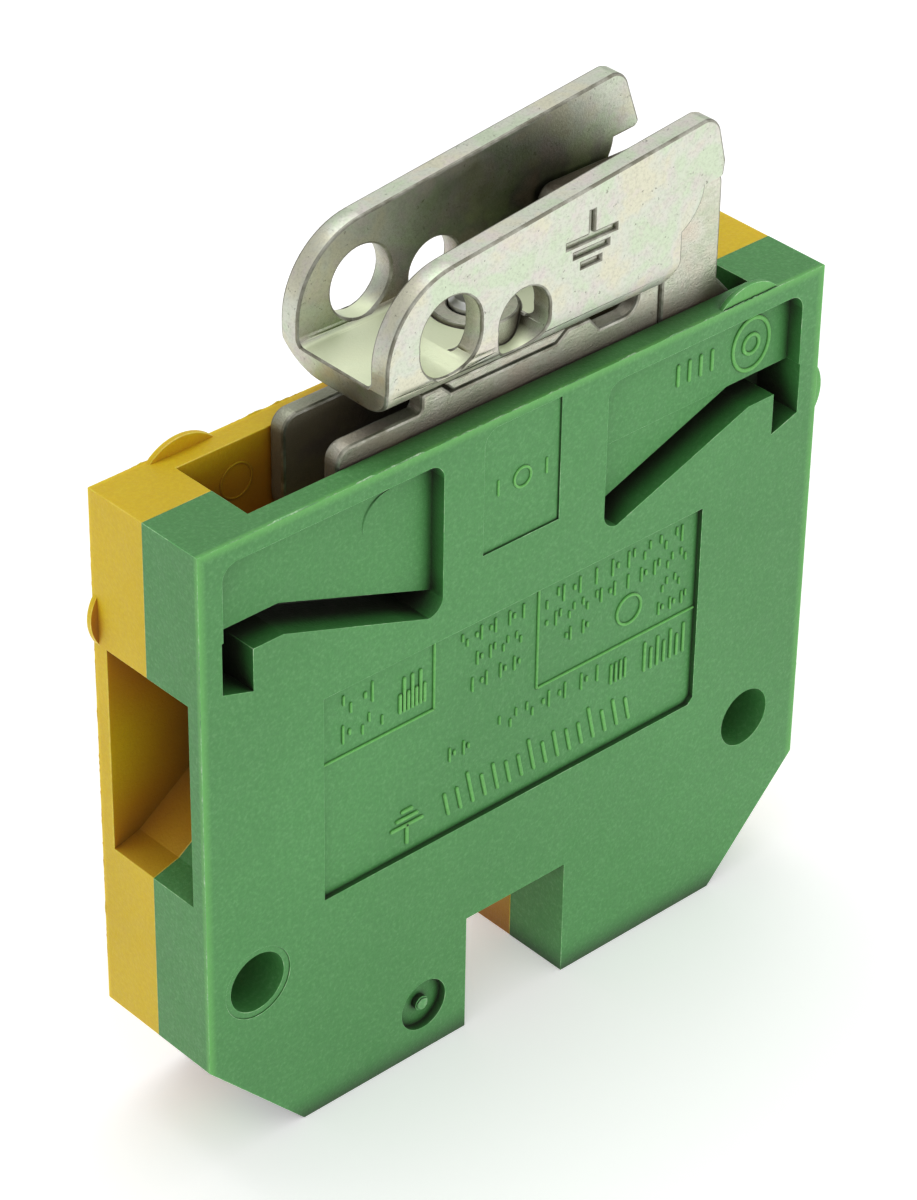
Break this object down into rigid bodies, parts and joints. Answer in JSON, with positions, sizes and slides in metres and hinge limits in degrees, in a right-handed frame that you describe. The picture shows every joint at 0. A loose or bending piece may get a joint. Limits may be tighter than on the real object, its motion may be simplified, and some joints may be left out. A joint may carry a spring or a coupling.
{
  "type": "din rail terminal block",
  "caption": "Narrow green and yellow protective-earth screw terminal block: two moulded housing halves, side wire entries and a bent steel foot that clamps to a mounting rail.",
  "frame": {"origin": "middle of the plane of the two legs that the block stands on, midway between the outer faces of the housing", "axes": "+X along the block from one wire entry to the other, towards the hooked end of the rail clamp; +Y from the green half to the yellow half; +Z from the legs to the metal rail foot"},
  "size_m": [0.042, 0.008, 0.0479],
  "materials": {
    "green_polyamide": "moulded, satin",
    "yellow_polyamide": "moulded, satin",
    "zinc_plated_steel": "zinc plated and passivated, slightly iridescent",
    "frame_steel": "dull, blanked and tumbled",
    "screw_steel": "zinc plated",
    "tinned_copper": "tin plated, satin"
  },
  "bodies": {
    "housing": {"front_shell": "green_polyamide", "rear_shell": "yellow_polyamide", "foot_frame": "frame_steel", "current_bar": "tinned_copper", "foot_screw_washer": "screw_steel"},
    "rail_clamp": {"rail_clamp": "zinc_plated_steel", "clamp_nut_plate": "zinc_plated_steel"},
    "foot_screw": {"foot_screw": "screw_steel"},
    "left_clamp_yoke": {"left_clamp_yoke": "zinc_plated_steel"},
    "right_clamp_yoke": {"right_clamp_yoke": "zinc_plated_steel"},
    "left_clamp_screw": {"left_clamp_screw": "screw_steel"},
    "right_clamp_screw": {"right_clamp_screw": "screw_steel"}
  },
  "joints": [
    {"name": "foot_screw_turn", "type": "hinge", "parent": "housing", "child": "foot_screw", "pos_m": [0, 0, 0.0168], "axis": [0, 0, -1], "range_deg": [0, 1200]},
    {"name": "rail_clamp_lift", "type": "slide", "parent": "housing", "child": "rail_clamp", "axis": [0, 0, 1], "range_m": [0, 0.0015]},
    {"name": "left_screw_turn", "type": "hinge", "parent": "housing", "child": "left_clamp_screw", "pos_m": [-0.01, 0, 0.007], "axis": [0, 0, 1], "range_deg": [0, 2520]},
    {"name": "left_yoke_slide", "type": "slide", "parent": "housing", "child": "left_clamp_yoke", "axis": [0, 0, -1], "range_m": [0, 0.0035]},
    {"name": "right_screw_turn", "type": "hinge", "parent": "housing", "child": "right_clamp_screw", "pos_m": [0.01, 0, 0.007], "axis": [0, 0, 1], "range_deg": [0, 2520]},
    {"name": "right_yoke_slide", "type": "slide", "parent": "housing", "child": "right_clamp_yoke", "axis": [0, 0, -1], "range_m": [0, 0.0035]}
  ],
  "couplings": [
    {"joint": "foot_screw_turn", "follows": "rail_clamp_lift", "rad_per_m": 13963},
    {"joint": "left_screw_turn", "follows": "left_yoke_slide", "rad_per_m": 12566},
    {"joint": "right_screw_turn", "follows": "right_yoke_slide", "rad_per_m": 12566}
  ]
}
